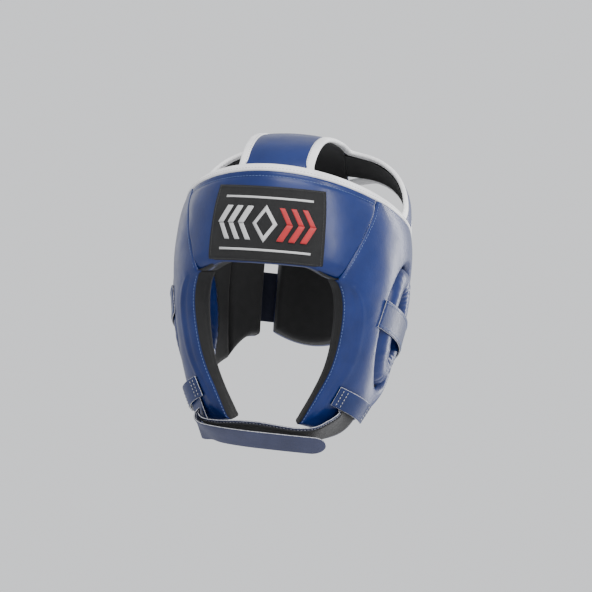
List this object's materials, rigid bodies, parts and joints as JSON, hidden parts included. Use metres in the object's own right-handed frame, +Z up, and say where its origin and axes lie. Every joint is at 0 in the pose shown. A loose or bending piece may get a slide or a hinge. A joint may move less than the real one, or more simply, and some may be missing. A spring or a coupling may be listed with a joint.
{
  "type": "boxing headgear",
  "caption": "Open-face padded boxing headgear with ear rings, crown harness, and hook-and-loop chin and nape straps.",
  "frame": {"origin": "centre of the wearer's head inside the pads, level with the middle of the forehead pad", "axes": "+X towards the wearer's left, -Y the way the face looks, +Z up; the head leaves along -Z"},
  "size_m": [0.2122, 0.2459, 0.2819],
  "materials": {
    "blue_leather": "satin",
    "strap_leather": "satin",
    "foam": "matte",
    "black_lining": "matte",
    "white_binding": "satin",
    "woven_patch": "matte",
    "loop_tape": "matte",
    "hook_tape": "matte"
  },
  "bodies": {
    "headgear": {"forehead_outer": "blue_leather", "forehead_foam": "foam", "forehead_lining": "black_lining", "side_outer_left": "blue_leather", "side_foam_left": "foam", "side_lining_left": "black_lining", "side_outer_right": "blue_leather", "side_foam_right": "foam", "side_lining_right": "black_lining", "wing_outer_left": "blue_leather", "wing_foam_left": "foam", "wing_lining_left": "black_lining", "wing_outer_right": "blue_leather", "wing_foam_right": "foam", "wing_lining_right": "black_lining", "ear_ring_cover_left": "blue_leather", "ear_ring_foam_left": "foam", "ear_strap_left": "blue_leather", "ear_ring_cover_right": "blue_leather", "ear_ring_foam_right": "foam", "ear_strap_right": "blue_leather", "crown_strap_outer": "blue_leather", "crown_strap_lining": "black_lining", "crown_band_outer_left": "blue_leather", "crown_band_lining_left": "black_lining", "crown_band_outer_right": "blue_leather", "crown_band_lining_right": "black_lining", "rim_piping": "white_binding", "crown_binding_front_left": "white_binding", "crown_binding_rear_left": "white_binding", "crown_binding_front_right": "white_binding", "crown_binding_rear_right": "white_binding", "front_patch": "woven_patch", "chin_tab_left": "blue_leather", "chin_tab_right": "blue_leather", "chin_loop_strap": "strap_leather", "chin_loop_tape": "loop_tape", "rear_loop_patch": "loop_tape"},
    "chin_hook": {"chin_hook_strap": "strap_leather", "chin_hook_tape": "hook_tape"},
    "rear_closure": {"rear_strap": "blue_leather", "rear_strap_hooks": "hook_tape"},
    "nape_pad": {"nape_outer": "blue_leather", "nape_foam": "foam", "nape_lining": "black_lining"}
  },
  "joints": [
    {"name": "chin_strap_peel", "type": "hinge", "parent": "headgear", "child": "chin_hook", "pos_m": [-0.061, -0.042, -0.169], "axis": [0, 1, 0], "range_deg": [0, 85]},
    {"name": "rear_strap_peel", "type": "hinge", "parent": "headgear", "child": "rear_closure", "pos_m": [-0.0744, 0.0828, -0.046], "axis": [0, 0, 1], "range_deg": [0, 100]},
    {"name": "nape_pad_tilt", "type": "hinge", "parent": "headgear", "child": "nape_pad", "pos_m": [0, 0.11, 0.009], "axis": [-1, 0, 0], "range_deg": [0, 6]}
  ]
}
